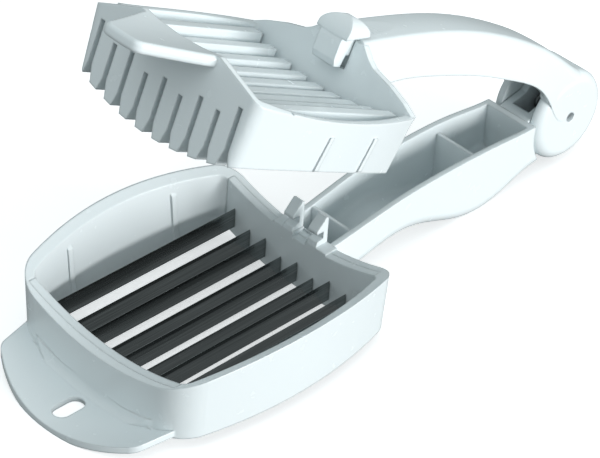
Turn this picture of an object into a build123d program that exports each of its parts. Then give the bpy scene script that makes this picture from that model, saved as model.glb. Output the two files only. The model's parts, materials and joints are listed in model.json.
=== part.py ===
from build123d import *
import os
from math import radians, sin, cos, tan

os.makedirs("parts", exist_ok=True)

# Tong-type egg slicer, millimetres. +X runs from the hanging tab to the hinge, +Z is up, and the
# origin is under the middle of the object, on the surface that it rests on.

# ---- Overall layout
overall_length = 210.0
cheek_radius = 14.4
hinge_x = overall_length / 2 - cheek_radius
hinge_z = 17.1
open_angle = 26.0
tab_tip_x = -overall_length / 2
rear_face_x = hinge_x - 103.0
front_face_x = rear_face_x - 70.5

# ---- The egg's cradle: every edge across the object follows arcs of this radius
cradle_radius = 83.0
cradle_bottom_z = -0.6
skirt_bottom_z = 4.2
rim_z = 15.9

# ---- Blades, in two layers
blade_count = 9
blade_pitch = 6.4
blade_height = 6.4
blade_thickness = 0.5
blade_bevel = 1.1
blade_edge = 0.1
blade_top_z = 8.45
layer_step = 2.0
blade_socket = 1.4

# ---- Frame
frame_outer_levels = [(4.2, 31.5, 37.5), (30.0, 32.9, 39.9)]
frame_inner_levels = [(-1.0, 27.4, 30.9), (9.0, 29.6, 34.4), (30.0, 31.2, 37.1)]
frame_outer_corners = (11.5, 7.5)
frame_inner_corners = (3.4, 3.0)
frame_front_x = front_face_x - 4.0
frame_front_bow = 1.2
frame_rear_x = rear_face_x + 4.6
frame_top_z = 30.0
holder_thickness = 2.4
holder_half = 29.0
tab_thickness = 2.2
cove_radius = 3.2
cove_angle = 17.5
cove_full_y = 12.0
cove_end_y = 24.5
tab_corner_x = tab_tip_x + 8.6
tab_corner_y = 27.5
slot_x = tab_tip_x + 9.2
slot_length = 10.0
slot_width = 5.4

# ---- Catch prongs on the rear blade holder
prong_inner_y = 3.0
prong_width = 3.5
prong_tip_z = 25.9
prong_catch_z = 21.4
foot_inner_y = 2.6
foot_outer_y = 10.4
foot_depth = 4.6
foot_top_z = 17.2

# ---- Lower handle: (distance from the rear blade face, top, bottom, half width)
handle_stations = [
    (2.6, 16.2, 2.6, 9.0),
    (12.0, 17.9, 3.8, 9.2),
    (22.0, 19.7, 6.0, 9.5),
    (33.0, 21.3, 7.6, 9.8),
    (45.0, 22.1, 5.0, 10.0),
    (57.0, 22.3, 0.9, 10.1),
    (66.0, 22.1, 0.0, 10.1),
    (75.0, 21.4, 1.6, 9.9),
    (83.0, 20.7, 4.0, 9.6),
    (94.0, 19.8, 5.2, 9.4),
]
handle_wall = 1.7
handle_corner = 4.0
handle_ribs = [(12.4, 17.4), (64.0, 19.0)]
rib_thickness = 1.1
handle_end = 85.0
cheek_gap = 1.6

# ---- Hinge
knuckle_half = 5.6
knuckle_radius = 8.0
ear_thickness = 2.4
fork_clearance = 0.3
cheek_half = 9.4
cheek_edge = 3.2
pin_radius = 1.5
pin_clearance = 0.05
pin_half = 8.4
spring_wire = 0.9
spring_radius = 2.9
spring_pitch = 1.0
spring_turns = 4.25
spring_leg = 7.0

# ---- Press, drawn in its closed position
press_rear_x = rear_face_x - 3.8
press_levels = [(1.0, rear_face_x - 68.6, 28.3, 32.2), (31.0, rear_face_x - 71.0, 31.0, 35.8)]
press_front_x = rear_face_x - 70.6
press_bottom_z = 1.0
press_corners = (3.6, 2.8)
press_inner_corners = (1.8, 1.4)
press_wall = 2.0
press_rear_wall = 2.4
press_floor_z = 13.7
slit_width = 1.5
slit_top_z = 17.0
ridge_roof = 1.0
ridge_half = 1.7
ridge_gap = 1.6
slit_flare = 3.6
slit_flare_height = 4.0
lip_base_half = 14.5
lip_tip_half = 6.3
lip_length = 22.0
lip_top_z = 28.3
lip_thickness = 3.2
outer_ribs = [(rear_face_x - 41.5, 31.9), (rear_face_x - 22.5, 31.3)]
outer_rib_lean = 6.0

# ---- Arm, closed: (distance from the rear blade face, top, bottom, half top, half bottom, edge radius)
arm_stations = [
    (-5.4, 34.0, 23.6, 6.8, 11.2, 1.4),
    (8.0, 36.4, 24.2, 6.6, 10.2, 1.4),
    (20.0, 38.2, 26.4, 6.5, 10.0, 1.4),
    (38.0, 39.9, 27.8, 6.5, 10.0, 1.5),
    (56.0, 39.8, 27.9, 6.6, 10.0, 1.8),
    (72.0, 38.3, 26.9, 7.0, 9.8, 2.2),
    (84.0, 36.2, 24.0, 7.8, 9.6, 2.7),
    (95.0, 33.1, 17.0, 8.8, 9.5, 3.1),
    (102.0, 31.4, 17.0, 9.3, 9.4, 3.2),
]
arm_wall = 2.2

# ---- Latch, closed and slid forward; it slides up a slope along the arm's top
latch_slope = 10.0
latch_half = 4.0
latch_gap = 0.4
latch_front = -12.0
latch_step = -5.7
latch_back = -2.4
dome_half = 5.6
dome_base_z = 34.25
dome_top_z = 38.5
crossbar_half = 5.8
crossbar_z = 19.1
crossbar_thickness = 1.4
recess_length = 19.0
recess_half = 4.9
recess_drop = 0.35


def along_x(distance):
    """X of a point given by its distance behind the rear blade face."""
    return rear_face_x + distance


def cradle_rise(y):
    """Height of the cradle arc above its lowest point at a distance y from the middle."""
    return cradle_radius - (cradle_radius**2 - y**2) ** 0.5


def above_cradle(z):
    """The space above a cradle arc whose lowest point is at z, as a long cylinder."""
    cylinder = Cylinder(cradle_radius, 2 * overall_length, rotation=(0, 90, 0))
    return Pos(0, 0, z + cradle_radius) * cylinder


def block(x0, x1, y0, y1, z0, z1):
    """A box given by its limits."""
    box = Box(x1 - x0, y1 - y0, z1 - z0)
    return Pos((x0 + x1) / 2, (y0 + y1) / 2, (z0 + z1) / 2) * box


def bowed_outline(front_x, rear_x, half_end, half_mid, bow, corners, z):
    """A four-sided outline whose long sides bow outward, on a level plane."""
    mid_x = (front_x + rear_x) / 2
    near_side = ThreePointArc((front_x, -half_end), (mid_x, -half_mid), (rear_x, -half_end))
    rear = Line((rear_x, -half_end), (rear_x, half_end))
    far_side = ThreePointArc((rear_x, half_end), (mid_x, half_mid), (front_x, half_end))
    front = ThreePointArc((front_x, half_end), (front_x - bow, 0), (front_x, -half_end))
    outline = make_face([near_side, rear, far_side, front])
    front_corner, rear_corner = corners
    outline = fillet(outline.vertices().sort_by(Axis.X)[:2], front_corner)
    outline = fillet(outline.vertices().sort_by(Axis.X)[-2:], rear_corner)
    return Pos(0, 0, z) * outline


def profile_prism(points, half_width):
    """A prism across the object from a closed outline in the X-Z plane."""
    face = make_face(Polyline(*points, close=True))
    return extrude(Plane.XZ * face, half_width, both=True)


def across_prism(points, x0, x1):
    """A prism along the object from a closed outline in the Y-Z plane."""
    face = make_face(Polyline(*points, close=True))
    return extrude(Plane.YZ.offset(x0) * face, x1 - x0)


def hinge_cylinder(radius, half_width):
    """A cylinder about the hinge axis."""
    return Pos(hinge_x, 0, hinge_z) * Cylinder(radius, 2 * half_width, rotation=(90, 0, 0))


def blade_rows():
    """Index from the middle, Y and layer of each blade; the odd blades are in the upper layer."""
    middle = (blade_count - 1) // 2
    for number in range(blade_count):
        y = (middle - number) * blade_pitch
        upper = number % 2 == 0
        yield number + 1, y, upper


# ------------------------------------------------------------------ base frame
def frame_hollow():
    """The room inside the frame's drafted walls."""
    return loft([bowed_outline(front_face_x, rear_face_x, half_end, half_mid, 0.5, frame_inner_corners, z)
                 for z, half_end, half_mid in frame_inner_levels], ruled=True)


def frame_ring():
    """The box-shaped surround of the blades, open below, with a curved rim."""
    outer = loft([bowed_outline(frame_front_x, frame_rear_x, half_end, half_mid, frame_front_bow,
                                frame_outer_corners, z) for z, half_end, half_mid in frame_outer_levels],
                 ruled=True)
    ends = Part()
    for x0, x1 in [(frame_front_x - frame_front_bow, front_face_x), (rear_face_x, frame_rear_x)]:
        ends += block(x0, x1, -holder_half, holder_half, 0, skirt_bottom_z + 1)
    ring = outer + (ends & above_cradle(cradle_bottom_z))
    ring -= above_cradle(rim_z)
    ring -= frame_hollow()
    pocket = holder_thickness
    for x0, x1 in [(front_face_x - pocket, front_face_x + 8), (rear_face_x - 8, rear_face_x + pocket)]:
        ring -= block(x0, x1, -holder_half, holder_half, -5, frame_top_z)
    return ring


def hanging_tab():
    """The thin curved tab with a slot to hang the slicer by."""
    root_x = frame_front_x + 13.0
    root_y = 31.8
    tip = ThreePointArc((tab_corner_x, tab_corner_y), (tab_tip_x, 0), (tab_corner_x, -tab_corner_y))
    near_edge = Line((tab_corner_x, -tab_corner_y), (root_x, -root_y))
    root = Line((root_x, -root_y), (root_x, root_y))
    far_edge = Line((root_x, root_y), (tab_corner_x, tab_corner_y))
    outline = make_face([tip, near_edge, root, far_edge])
    corners = outline.vertices().sort_by(Axis.X)[:2]
    outline = fillet(corners, 4.5)
    tab = extrude(outline, 20)
    tab &= above_cradle(cradle_bottom_z)
    tab -= above_cradle(cradle_bottom_z + tab_thickness)
    tab -= block(frame_front_x + 1.4, 0, -holder_half, holder_half, -5, 20) + frame_hollow()
    slot = extrude(SlotOverall(slot_length, slot_width), 20, both=True)
    return tab - Pos(slot_x, 0, 0) * slot


def tab_cove():
    """The rounded inside corner where the tab meets the front wall."""
    wall_x = frame_front_x - frame_front_bow
    level = cradle_bottom_z + tab_thickness - 0.5
    arc = ThreePointArc((wall_x - cove_radius, level), (wall_x - cove_radius * 0.3, level + cove_radius * 0.3),
                        (wall_x, level + cove_radius))
    edges = [arc, Line((wall_x, level + cove_radius), (wall_x + 2, level + cove_radius)),
             Line((wall_x + 2, level + cove_radius), (wall_x + 2, level)),
             Line((wall_x + 2, level), (wall_x - cove_radius, level))]
    axis = Axis((0, 0, cradle_bottom_z + cradle_radius), (1, 0, 0))
    half = revolve(Plane.XZ * make_face(edges), axis, cove_angle)
    cove = half + mirror(half, Plane.XZ)
    fading = make_face(Polyline((wall_x - cove_radius, -cove_full_y), (wall_x + 1, -cove_end_y),
                                (wall_x + 4, -cove_end_y), (wall_x + 4, cove_end_y), (wall_x + 1, cove_end_y),
                                (wall_x - cove_radius, cove_full_y), close=True))
    return cove & extrude(fading, 30)


def handle_section(distance, top, bottom, half, corner):
    """One cross section of the trough-shaped lower handle."""
    rectangle = Rectangle(2 * half, top - bottom)
    lower = rectangle.vertices().sort_by(Axis.Y)[:2]
    rectangle = fillet(lower, corner)
    plane = Plane(origin=(along_x(distance), 0, (top + bottom) / 2), x_dir=(0, 1, 0), z_dir=(1, 0, 0))
    return plane * rectangle


def lower_handle():
    """The open trough behind the frame, with a waved underside and two cross ribs."""
    outer = loft([handle_section(*station, handle_corner) for station in handle_stations])
    inner_sections = []
    for distance, top, bottom, half in handle_stations:
        inner_corner = handle_corner - handle_wall
        inner_sections.append(
            handle_section(distance, top + 4, bottom + handle_wall, half - handle_wall, inner_corner))
    inner = loft(inner_sections)
    room = block(frame_rear_x + 0.2, along_x(handle_end), -20, 20, -5, 40)
    for distance, top in handle_ribs:
        room -= block(along_x(distance), along_x(distance) + rib_thickness, -20, 20, -5, top)
    handle = outer - (inner & room)
    handle -= hinge_cylinder(cheek_radius + cheek_gap, 30)
    return handle


def base_knuckle():
    """Two ears that hold the hinge pin, joined to the end of the lower handle."""
    x0 = along_x(handle_end) + 0.6
    profile = profile_prism(
        [(x0, 5.0), (hinge_x - 3.0, 6.6), (hinge_x + 2, hinge_z), (hinge_x - 2, hinge_z + 6.0), (x0, 19.6)],
        knuckle_half)
    knuckle = profile + hinge_cylinder(knuckle_radius, knuckle_half)
    spring_room = block(hinge_x - 12.0, hinge_x + 20, -knuckle_half + ear_thickness,
                        knuckle_half - ear_thickness, 9.0, 40)
    return knuckle - spring_room - hinge_cylinder(pin_radius, knuckle_half + 1)


def inner_wall_ribs():
    """Two shallow upright ribs inside each side wall of the frame."""
    ribs = Part()
    for distance in (-54.0, -16.0):
        for side in (-1, 1):
            points = [(31.2, 5.0), (32.5, 9.0), (33.7, 19.6), (34.3, 20.4), (35.4, 20.4), (34.0, 5.0)]
            rib = [(side * y, z) for y, z in points]
            ribs += across_prism(rib, along_x(distance) - 0.9, along_x(distance) + 0.9)
    return ribs


def base_frame():
    """Frame, tab, lower handle and hinge knuckle: one moulding."""
    base = frame_ring() + hanging_tab() + tab_cove() + lower_handle() + base_knuckle() + inner_wall_ribs()
    base -= block(rear_face_x, rear_face_x + holder_thickness, -holder_half, holder_half, -5, 40)
    feet_room = block(rear_face_x, rear_face_x + foot_depth, -foot_outer_y, foot_outer_y, 0, 40)
    base -= feet_room & above_cradle(rim_z)
    return base - block(-150, 150, -60, 60, -5, 0)


# ------------------------------------------------------------------ blade holders and blades
def blade(y, upper):
    """One flat strip of blade steel with its upper edge ground to a bevel."""
    top = blade_top_z + cradle_rise(y) - (0 if upper else layer_step)
    bottom = top - blade_height
    half = blade_thickness / 2
    points = [
        (y - half, bottom),
        (y + half, bottom),
        (y + half, top - blade_bevel),
        (y + blade_edge / 2, top),
        (y - blade_edge / 2, top),
        (y - half, top - blade_bevel),
    ]
    return across_prism(points, front_face_x - blade_socket, rear_face_x + blade_socket)


def catch_prongs():
    """The two hooks that the latch's crossbar locks under."""
    front = rear_face_x
    profile = [
        (front, 14.0),
        (front + foot_depth, 14.0),
        (front + foot_depth, prong_tip_z - 0.3),
        (front + 3.8, prong_tip_z),
        (front + 0.3, prong_catch_z + 0.9),
        (front + 0.3, prong_catch_z),
        (front + 2.9, prong_catch_z),
        (front + 2.9, prong_catch_z - 2.2),
        (front + 0.5, prong_catch_z - 2.8),
        (front, prong_catch_z - 4.2),
    ]
    prongs = Part()
    for side in (-1, 1):
        y = side * (prong_inner_y + prong_width / 2)
        prongs += Pos(0, y, 0) * profile_prism(profile, prong_width / 2)
        edges = sorted([side * foot_inner_y, side * foot_outer_y])
        prongs += block(front, front + foot_depth, edges[0], edges[1], 14.0, foot_top_z)
    roots = prongs & block(front, front + holder_thickness, -20, 20, 0, 40)
    return roots + (prongs & above_cradle(rim_z))


def blade_holder(x0, x1, blades):
    """A bar across the frame that holds the blades' ends in slits."""
    bar = block(x0, x1, -holder_half, holder_half, 0, frame_top_z)
    bar &= above_cradle(cradle_bottom_z)
    bar -= above_cradle(rim_z)
    for strip in blades:
        bar -= strip
    return bar


# ------------------------------------------------------------------ press and arm
def slit_top(y, upper):
    """Height of the top of a slit at a distance y from the middle."""
    return slit_top_z + cradle_rise(y) - (0 if upper else layer_step)


def slit_ridges():
    """Raised roofs of one height over the slits on the cup's floor, which stop short of its rear wall."""
    ridges = Part()
    for _, y, _ in blade_rows():
        top = slit_top(y, True) + ridge_roof
        ridges += block(press_front_x - 2, press_rear_x - press_rear_wall - ridge_gap, y - ridge_half,
                        y + ridge_half, press_floor_z - 2, top)
    return ridges


def press_cup():
    """The drafted cup with a thick slitted floor that pushes the egg through the blades."""
    outer_levels = []
    inner_levels = []
    for z, front_x, half_end, half_mid in press_levels:
        outer_levels.append(
            bowed_outline(front_x, press_rear_x, half_end, half_mid, 0.3, press_corners, z))
        inner_levels.append(
            bowed_outline(front_x + press_wall, press_rear_x - press_rear_wall, half_end - press_wall,
                          half_mid - press_wall, 0.3, press_inner_corners, z))
    cup = loft(outer_levels, ruled=True) & above_cradle(press_bottom_z)
    hollow = loft(inner_levels, ruled=True) & above_cradle(press_floor_z)
    return cup - (hollow - slit_ridges())


def press_rim_cut():
    """What is cut from the cup's top: a dipped rim along the sides and a sloped one at the front."""
    wall = press_front_x + 2.2
    low = Spline((wall, 24.7), (along_x(-60), 23.5), (along_x(-36), 22.4), (along_x(-16), 22.7),
                 (along_x(2), 23.2))
    edges = [
        low,
        Line((along_x(2), 23.2), (along_x(2), 60)),
        Line((along_x(2), 60), (wall, 60)),
        Line((wall, 60), (wall, 24.7)),
    ]
    sides = extrude(Plane.XZ * make_face(edges), 60, both=True)
    shoulder = lip_top_z + cradle_rise(lip_base_half)
    slopes = Part()
    for side in (-1, 1):
        points = [(side * lip_base_half, shoulder), (side * 27.0, 25.2), (side * 40, 20.2),
                  (side * 40, 60), (side * lip_base_half, 60)]
        slopes += across_prism(points, press_front_x - 10, press_front_x + 12)
    behind_lip = block(press_front_x - 10, press_front_x + 12, -lip_base_half, lip_base_half, 20, 60)
    return sides + slopes + (behind_lip & above_cradle(lip_top_z))


def press_slits():
    """Slits that the blades pass into, flared at the bottom, deeper for the upper layer."""
    cutters = Part()
    x0 = press_front_x - 6
    x1 = press_rear_x + 6
    for number, y, upper in blade_rows():
        bottom = press_bottom_z + cradle_rise(y)
        top = slit_top(y, upper)
        half = slit_width / 2
        flare = slit_flare / 2
        points = [(y - flare, bottom - 1), (y + flare, bottom - 1), (y + flare, bottom),
                  (y + half, bottom + slit_flare_height), (y + half, top), (y - half, top),
                  (y - half, bottom + slit_flare_height), (y - flare, bottom)]
        cutters += across_prism(points, x0, x1)
    return cutters


def press_lip():
    """The dished thumb lip that stands out over the frame's front wall."""
    root_x = press_front_x + 1.0
    tip_x = press_front_x - lip_length
    outline = make_face(Polyline((root_x, -lip_base_half), (tip_x, -lip_tip_half), (tip_x, lip_tip_half),
                                 (root_x, lip_base_half), close=True))
    outline = fillet(outline.vertices().sort_by(Axis.X)[:2], 3.0)
    lip = extrude(outline, 60)
    lip &= above_cradle(lip_top_z - lip_thickness)
    lip -= above_cradle(lip_top_z)
    rim = [edge for edge in lip.edges() if edge.center().X < root_x - 3 and edge.length > 8]
    return fillet(rim, 1.1)


def press_ribs():
    """Shallow upright ribs on the outside of the cup's side walls."""
    ribs = Part()
    for x, half in outer_ribs:
        for side in (-1, 1):
            rib = block(x - 0.8, x + 0.8, -0.7, 0.7, 8.2, 18.2)
            lean = Rot(-side * outer_rib_lean, 0, 0)
            ribs += Pos(0, side * half, 0) * lean * rib
    return ribs


def rear_wall():
    """The shield-shaped wall between the cup and the arm."""
    half_profile = [(0, 12.0), (27.6, 12.0), (30.0, 23.2), (26.0, 25.2), (20.0, 27.3), (13.0, 29.0),
                    (10.6, 30.4), (7.4, 33.2), (0, 33.4)]
    mirrored = [(-y, z) for y, z in reversed(half_profile[1:-1])]
    return across_prism(half_profile + mirrored, press_rear_x - press_rear_wall, press_rear_x)


def arm_section(distance, top, bottom, half_top, half_bottom, corner, crown):
    """One cross section of the arm: narrow on top, wider below."""
    top_edge = ThreePointArc((-half_top, top - crown), (0, top), (half_top, top - crown))
    right = Line((half_top, top - crown), (half_bottom, bottom))
    base = Line((half_bottom, bottom), (-half_bottom, bottom))
    left = Line((-half_bottom, bottom), (-half_top, top - crown))
    face = make_face([top_edge, right, base, left])
    face = fillet(face.vertices().sort_by(Axis.Y)[-2:], corner)
    plane = Plane(origin=(along_x(distance), 0, 0), x_dir=(0, 1, 0), z_dir=(1, 0, 0))
    return plane * face


def arm_shell():
    """The arched upper arm, open below, that ends in the hinge's two cheeks."""
    outer = loft([arm_section(*station, 0.4) for station in arm_stations])
    cheeks = hinge_cylinder(cheek_radius, cheek_half)
    cheeks = fillet(cheeks.edges().filter_by(GeomType.CIRCLE), cheek_edge)
    arm = outer + cheeks
    inner_sections = []
    for distance, top, bottom, half_top, half_bottom, edge in arm_stations:
        inner_sections.append(arm_section(distance, top - arm_wall, bottom - 3, half_top - arm_wall,
                                          half_bottom - arm_wall + 0.8, 0.8, 0.3))
    hollow = loft(inner_sections) & block(along_x(-3.8), along_x(88.0), -20, 20, 0, 60)
    fork_half = knuckle_half + fork_clearance
    fork = hinge_cylinder(cheek_radius - 2.6, fork_half)
    fork += block(hinge_x - 30, hinge_x - 2.0, -fork_half, fork_half, -10, hinge_z + 9.0)
    fork += block(hinge_x - 12, hinge_x + 6.0, -fork_half, fork_half, -10, hinge_z)
    arm -= hollow + fork
    return arm - hinge_cylinder(pin_radius + pin_clearance, 20)


def latch_underside(distance):
    """Height of the sloping underside of the latch's dome at a distance behind the rear blade face."""
    return dome_base_z + (distance - latch_step) * tan(radians(latch_slope))


def thumb_recess():
    """A shallow D-shaped recess behind the latch, as steep as the latch's slide."""
    start = latch_back - 1.0
    straight = recess_length - 6.0
    nose = ThreePointArc((straight, recess_half), (recess_length, 0), (straight, -recess_half))
    edges = [nose, Line((straight, -recess_half), (0, -recess_half)),
             Line((0, -recess_half), (0, recess_half)), Line((0, recess_half), (straight, recess_half))]
    floor_z = latch_underside(start) - recess_drop
    return Pos(along_x(start), 0, floor_z) * Rot(0, -latch_slope, 0) * extrude(make_face(edges), 12)


def press_arm():
    """Cup, lip, rear wall and arm: the upper moulding."""
    cup = press_cup() - press_rim_cut()
    slits = press_slits()
    notch_half = latch_half + latch_gap
    notch = block(along_x(-20), along_x(-1.2), -notch_half, notch_half, 24.7, 60)
    wall = rear_wall() - slits
    arm = arm_shell() - thumb_recess()
    return (cup - slits) + press_ribs() + press_lip() + ((wall + arm) - notch)


# ------------------------------------------------------------------ latch, pin and spring
def latch_dome():
    """The rounded thumb pad on top of the latch, wider than the notch that it slides in."""
    front = latch_front + 0.3
    back_z = latch_underside(latch_back)
    front_z = latch_underside(front)
    base = Polyline((along_x(front), front_z), (along_x(latch_back), back_z), (along_x(latch_back), back_z + 1.4))
    crown = Spline((along_x(latch_back), back_z + 1.4), (along_x(latch_back - 2.0), dome_top_z - 0.4),
                   (along_x(latch_back - 5.0), dome_top_z), (along_x(front + 1.5), dome_top_z - 1.6),
                   (along_x(front), front_z))
    side = extrude(Plane.XZ * make_face([base, crown]), dome_half, both=True)
    arch = Spline((-dome_half, front_z), (-dome_half + 0.5, dome_base_z + 2.0), (0, dome_top_z + 0.1),
                  (dome_half - 0.5, dome_base_z + 2.0), (dome_half, front_z))
    floor = Line((dome_half, front_z), (-dome_half, front_z))
    return side & extrude(Plane.YZ.offset(along_x(front - 5)) * make_face([arch, floor]), 30)


def latch_slider():
    """Thumb pad with a crossbar behind the wall that locks under the prongs."""
    front = along_x(latch_front)
    step = along_x(latch_step)
    leg_front = along_x(-3.2)
    leg_back = along_x(-1.7)
    body = profile_prism([(front + 1.4, 25.1), (front + 4.2, 25.1), (front + 4.6, 28.6), (step, 28.6),
                          (step, dome_base_z + 0.6), (front + 0.8, dome_base_z + 0.6), (front + 0.2, 32.0),
                          (front + 0.4, 27.0)], latch_half)
    leg = block(leg_front, leg_back, -2.3, 2.3, crossbar_z, 30.8)
    carriage = block(step - 1.0, leg_back, -latch_half, latch_half, 28.6, 30.8)
    crossbar = block(leg_front, leg_back, -crossbar_half, crossbar_half, crossbar_z,
                     crossbar_z + crossbar_thickness)
    return body + latch_dome() + leg + carriage + crossbar


def hinge_pin():
    """Steel pin through the cheeks and the base's ears."""
    pin = hinge_cylinder(pin_radius, pin_half)
    return chamfer(pin.edges().filter_by(GeomType.CIRCLE), 0.3)


def hinge_spring():
    """Coiled torsion spring round the pin, with a straight leg at each end."""
    coil = Helix(spring_pitch, spring_pitch * spring_turns, spring_radius)
    start_leg = Line(coil @ 0 - (coil % 0) * spring_leg, coil @ 0)
    end_leg = Line(coil @ 1, coil @ 1 + (coil % 1) * spring_leg)
    path = Wire([start_leg, coil, end_leg])
    section = Plane(origin=path @ 0, z_dir=path % 0) * Circle(spring_wire / 2)
    spring = sweep(section, path=path)
    centred = Pos(0, 0, -spring_pitch * spring_turns / 2) * spring
    return Pos(hinge_x, 0, hinge_z) * Rot(90, 0, 0) * centred


# ------------------------------------------------------------------ assembly
def opened(shape):
    """Turn a closed piece up about the hinge to its resting place."""
    pivot = Pos(hinge_x, 0, hinge_z)
    return pivot * Rot(0, open_angle, 0) * Pos(-hinge_x, 0, -hinge_z) * shape


blades = {number: blade(y, upper) for number, y, upper in blade_rows()}
strips = list(blades.values())

nodes = {"base_frame": base_frame()}
nodes["front_blade_holder"] = blade_holder(front_face_x - holder_thickness, front_face_x, strips)
nodes["rear_blade_holder"] = (
    blade_holder(rear_face_x, rear_face_x + holder_thickness, strips) + catch_prongs())
for number, strip in blades.items():
    nodes[f"blade_{number}"] = strip
nodes["hinge_pin"] = hinge_pin()
nodes["hinge_spring"] = hinge_spring()
nodes["press_arm"] = opened(press_arm())
nodes["latch_slider"] = opened(latch_slider())

for name, shape in nodes.items():
    shape.label = name
    export_step(shape, f"parts/{name}.step")
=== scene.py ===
import json
from math import cos, radians, sin

import bmesh
import bpy
from mathutils import Matrix, Vector


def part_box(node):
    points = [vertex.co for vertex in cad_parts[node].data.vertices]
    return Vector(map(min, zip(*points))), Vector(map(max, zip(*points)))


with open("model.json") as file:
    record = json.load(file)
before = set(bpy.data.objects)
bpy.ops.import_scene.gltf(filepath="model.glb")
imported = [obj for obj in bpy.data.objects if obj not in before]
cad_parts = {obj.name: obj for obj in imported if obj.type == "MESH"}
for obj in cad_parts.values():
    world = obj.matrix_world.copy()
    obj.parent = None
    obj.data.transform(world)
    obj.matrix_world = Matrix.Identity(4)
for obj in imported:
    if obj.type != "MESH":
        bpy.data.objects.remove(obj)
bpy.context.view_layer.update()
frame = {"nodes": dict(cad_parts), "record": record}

# Lengths are in metres, angles in degrees and light powers in watts
CAMERA_AZIMUTH = 46.64
CAMERA_ELEVATION = 36.8
CAMERA_ROLL = 4.09
CAMERA_DISTANCE = 0.8053
CAMERA_LENS_MM = 173.4
SENSOR_WIDTH_MM = 36.0
AIM_RIGHT = 0.00084
AIM_UP = 0.00925

LIGHT_TARGET = (0.0, 0.0, 0.05)
WORLD_TINT = (0.9, 0.985, 1.0)
WORLD_LEVELS = [(0.0, 0.14), (0.42, 0.25), (0.55, 0.53), (1.0, 0.56)]

BODY_TINT = (0.75, 0.81, 0.825)
HOLDER_TINT = (0.73, 0.79, 0.805)
LATCH_TINT = (0.76, 0.82, 0.835)
EDGE_RADIUS = 0.0008


# ------------------------------------------------------------------ materials
def new_material(name, color, metallic, roughness):
    """A Principled material and its node tree, with the plain values set on the shader itself."""
    material = bpy.data.materials.new(name)
    material.use_nodes = True
    shader = material.node_tree.nodes["Principled BSDF"]
    shader.inputs["Base Color"].default_value = (*color, 1.0)
    shader.inputs["Metallic"].default_value = metallic
    shader.inputs["Roughness"].default_value = roughness
    return material, shader


def noise(tree, scale, detail=3.0, stretch=(1.0, 1.0, 1.0)):
    """A noise texture in object coordinates, stretched along the axes as given."""
    coordinates = tree.nodes.new("ShaderNodeTexCoord")
    mapping = tree.nodes.new("ShaderNodeMapping")
    mapping.inputs["Scale"].default_value = stretch
    texture = tree.nodes.new("ShaderNodeTexNoise")
    texture.inputs["Scale"].default_value = scale
    texture.inputs["Detail"].default_value = detail
    tree.links.new(coordinates.outputs["Object"], mapping.inputs["Vector"])
    tree.links.new(mapping.outputs["Vector"], texture.inputs["Vector"])
    return texture.outputs["Fac"]


def ramp(tree, value, low, high):
    """Two colours blended by a value, over the middle of the range that noise fills."""
    node = tree.nodes.new("ShaderNodeValToRGB")
    node.color_ramp.elements[0].position = 0.3
    node.color_ramp.elements[0].color = (*low, 1.0)
    node.color_ramp.elements[1].position = 0.7
    node.color_ramp.elements[1].color = (*high, 1.0)
    tree.links.new(value, node.inputs["Fac"])
    return node.outputs["Color"]


def bump(tree, shader, height, distance, strength):
    """A bump on the shader's normal, from a height between 0 and 1 and a full distance in metres."""
    node = tree.nodes.new("ShaderNodeBump")
    node.inputs["Distance"].default_value = distance
    node.inputs["Strength"].default_value = strength
    tree.links.new(height, node.inputs["Height"])
    tree.links.new(node.outputs["Normal"], shader.inputs["Normal"])
    return node


def remap(tree, value, low, high):
    """A value from 0 to 1 spread between two limits."""
    node = tree.nodes.new("ShaderNodeMapRange")
    node.inputs["To Min"].default_value = low
    node.inputs["To Max"].default_value = high
    tree.links.new(value, node.inputs["Value"])
    return node.outputs["Result"]


def white_plastic(name, tint):
    """Glossy moulded plastic: slight flow marks in its colour and gloss, soft edges, a faint orange peel."""
    material, shader = new_material(name, tint, 0.0, 0.26)
    tree = material.node_tree
    darker = tuple(channel * 0.99 for channel in tint)
    flow = noise(tree, 14.0, 2.0, (0.6, 1.0, 1.4))
    tree.links.new(ramp(tree, flow, darker, tint), shader.inputs["Base Color"])
    wear = noise(tree, 240.0, 5.0)
    tree.links.new(remap(tree, wear, 0.22, 0.3), shader.inputs["Roughness"])
    peel = bump(tree, shader, noise(tree, 700.0, 1.0), 0.00002, 0.25)
    soft_edges = tree.nodes.new("ShaderNodeBevel")
    soft_edges.samples = 6
    soft_edges.inputs["Radius"].default_value = EDGE_RADIUS
    tree.links.new(soft_edges.outputs["Normal"], peel.inputs["Normal"])
    shader.inputs["IOR"].default_value = 1.5
    shader.inputs["Subsurface Weight"].default_value = 0.06
    shader.inputs["Subsurface Radius"].default_value = (0.002, 0.0022, 0.0024)
    shader.inputs["Subsurface Scale"].default_value = 0.5
    return material


def blade_steel(name):
    """Rolled stainless strip: fine grain along the blade and a few broad stains in its sheen."""
    material, shader = new_material(name, (0.3, 0.32, 0.32), 1.0, 0.2)
    tree = material.node_tree
    grain = noise(tree, 60.0, 6.0, (0.6, 30.0, 45.0))
    tree.links.new(ramp(tree, grain, (0.2, 0.215, 0.215), (0.36, 0.38, 0.38)), shader.inputs["Base Color"])
    stains = noise(tree, 45.0, 3.0, (0.5, 8.0, 14.0))
    tree.links.new(remap(tree, stains, 0.12, 0.3), shader.inputs["Roughness"])
    bump(tree, shader, grain, 0.00004, 0.3)
    shader.inputs["Anisotropic"].default_value = 0.35
    return material


def wire_steel(name, color, roughness):
    """Drawn or turned steel: fine scratches and a slightly uneven satin sheen."""
    material, shader = new_material(name, color, 1.0, roughness)
    tree = material.node_tree
    scratches = noise(tree, 700.0, 4.0, (1.0, 6.0, 1.0))
    darker = tuple(channel * 0.7 for channel in color)
    tree.links.new(ramp(tree, scratches, darker, color), shader.inputs["Base Color"])
    tree.links.new(remap(tree, scratches, roughness * 0.7, roughness * 1.4), shader.inputs["Roughness"])
    bump(tree, shader, scratches, 0.00003, 0.3)
    return material


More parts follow.
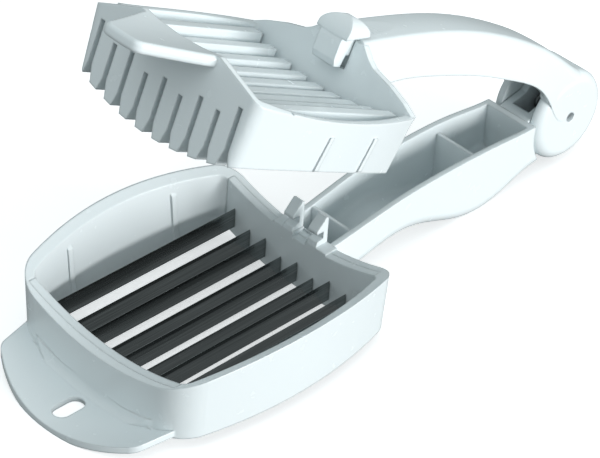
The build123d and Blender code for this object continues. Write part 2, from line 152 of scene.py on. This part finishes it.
MATERIALS = {
    "white_body": white_plastic("white_body_plastic", BODY_TINT),
    "white_arm": white_plastic("white_arm_plastic", BODY_TINT),
    "white_holder": white_plastic("white_holder_plastic", HOLDER_TINT),
    "white_latch": white_plastic("white_latch_plastic", LATCH_TINT),
    "blade_steel": blade_steel("blade_strip_steel"),
    "pin_steel": wire_steel("pin_satin_steel", (0.5, 0.51, 0.52), 0.3),
    "spring_steel": wire_steel("spring_wire_steel", (0.4, 0.41, 0.42), 0.35),
}


def paint_nodes():
    """Give each node of the CAD model the material of its slot in the record."""
    for part in frame["record"]["subparts"]:
        node = frame["nodes"][part["node"]]
        for slot in node.material_slots:
            slot.material = MATERIALS[part["material_slot"]]


paint_nodes()


# ------------------------------------------------------------------ floor
def floor():
    """A wide pale floor that curves up behind the slicer, as the camera sees it."""
    mesh = bmesh.new()
    steps = 24
    near = -1.6
    far = 1.3
    curve_radius = 0.8
    wall_height = 1.6
    half_width = 3.0
    azimuth = radians(CAMERA_AZIMUTH)
    direction = Vector((sin(azimuth), cos(azimuth), 0.0))
    side = Vector((direction.y, -direction.x, 0.0))
    rows = [(near, 0.0), (far, 0.0)]
    for step in range(1, steps + 1):
        angle = radians(90.0 * step / steps)
        rows.append((far + curve_radius * sin(angle), curve_radius * (1.0 - cos(angle))))
    rows.append((far + curve_radius, curve_radius + wall_height))
    previous = None
    for along, up in rows:
        pair = [mesh.verts.new(direction * along + side * across + Vector((0, 0, up)))
                for across in (-half_width, half_width)]
        if previous:
            mesh.faces.new((previous[0], previous[1], pair[1], pair[0]))
        previous = pair
    data = bpy.data.meshes.new("floor")
    mesh.to_mesh(data)
    mesh.free()
    data.shade_smooth()
    obj = bpy.data.objects.new("floor", data)
    bpy.context.scene.collection.objects.link(obj)
    material, shader = new_material("floor_paper", (0.93, 0.94, 0.945), 0.0, 0.8)
    tree = material.node_tree
    paper = noise(tree, 60.0, 4.0)
    shades = ramp(tree, paper, (0.925, 0.935, 0.94), (0.935, 0.945, 0.95))
    tree.links.new(shades, shader.inputs["Base Color"])
    shader.inputs["Emission Color"].default_value = (1.0, 1.0, 1.0, 1.0)
    shader.inputs["Emission Strength"].default_value = 0.45
    data.materials.append(material)
    obj.visible_diffuse = False
    obj.visible_glossy = False


floor()


# ------------------------------------------------------------------ light and camera
def area_light(name, position, size, power, color):
    """A soft square light aimed at the slicer."""
    data = bpy.data.lights.new(name, "AREA")
    data.shape = "SQUARE"
    data.size = size
    data.energy = power
    data.color = color
    obj = bpy.data.objects.new(name, data)
    obj.location = position
    aim = Vector(LIGHT_TARGET) - Vector(position)
    obj.rotation_euler = aim.to_track_quat("-Z", "Y").to_euler()
    bpy.context.scene.collection.objects.link(obj)


area_light("key_near_side", position=(0.3, -1.45, 0.2), size=0.8, power=31.0, color=(1.0, 1.0, 1.0))
area_light("soft_above", position=(-0.7, -0.2, 1.3), size=1.2, power=4.6, color=(0.93, 0.98, 1.0))


def studio_world():
    """Even pale light, strongest from above and weak from below."""
    world = bpy.data.worlds.new("studio")
    world.use_nodes = True
    tree = world.node_tree
    background = tree.nodes["Background"]
    coordinates = tree.nodes.new("ShaderNodeTexCoord")
    split = tree.nodes.new("ShaderNodeSeparateXYZ")
    height = tree.nodes.new("ShaderNodeMapRange")
    height.inputs["From Min"].default_value = -1.0
    tree.links.new(coordinates.outputs["Generated"], split.inputs["Vector"])
    tree.links.new(split.outputs["Z"], height.inputs["Value"])
    shade = tree.nodes.new("ShaderNodeValToRGB")
    elements = shade.color_ramp.elements
    elements[1].position = WORLD_LEVELS[-1][0]
    for position, _ in WORLD_LEVELS[1:-1]:
        elements.new(position)
    for element, (_, level) in zip(elements, WORLD_LEVELS):
        element.color = (*(level * channel for channel in WORLD_TINT), 1.0)
    tree.links.new(height.outputs["Result"], shade.inputs["Fac"])
    tree.links.new(shade.outputs["Color"], background.inputs["Color"])
    bpy.context.scene.world = world


studio_world()
bpy.context.scene.view_settings.view_transform = "Standard"


def camera():
    """A long lens in front of the tab, to the near side, looking down along the slicer with a small roll."""
    azimuth = radians(CAMERA_AZIMUTH)
    elevation = radians(CAMERA_ELEVATION)
    roll = radians(CAMERA_ROLL)
    forward = Vector((sin(azimuth) * cos(elevation), cos(azimuth) * cos(elevation), -sin(elevation)))
    level = Vector((cos(azimuth), -sin(azimuth), 0.0))
    upright = level.cross(forward)
    right = level * cos(roll) + upright * sin(roll)
    up = upright * cos(roll) - level * sin(roll)
    holder_low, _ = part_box("rear_blade_holder")
    _, blade_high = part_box("blade_5")
    anchor = Vector((holder_low[0], 0.0, blade_high[2]))
    target = anchor + right * AIM_RIGHT + up * AIM_UP
    data = bpy.data.cameras.new("camera")
    data.lens = CAMERA_LENS_MM
    data.sensor_width = SENSOR_WIDTH_MM
    data.clip_start = 0.05
    obj = bpy.data.objects.new("camera", data)
    turn = Matrix((right, up, -forward)).transposed().to_4x4()
    obj.matrix_world = Matrix.Translation(target - forward * CAMERA_DISTANCE) @ turn
    bpy.context.scene.collection.objects.link(obj)
    bpy.context.scene.camera = obj


camera()

bpy.context.view_layer.update()
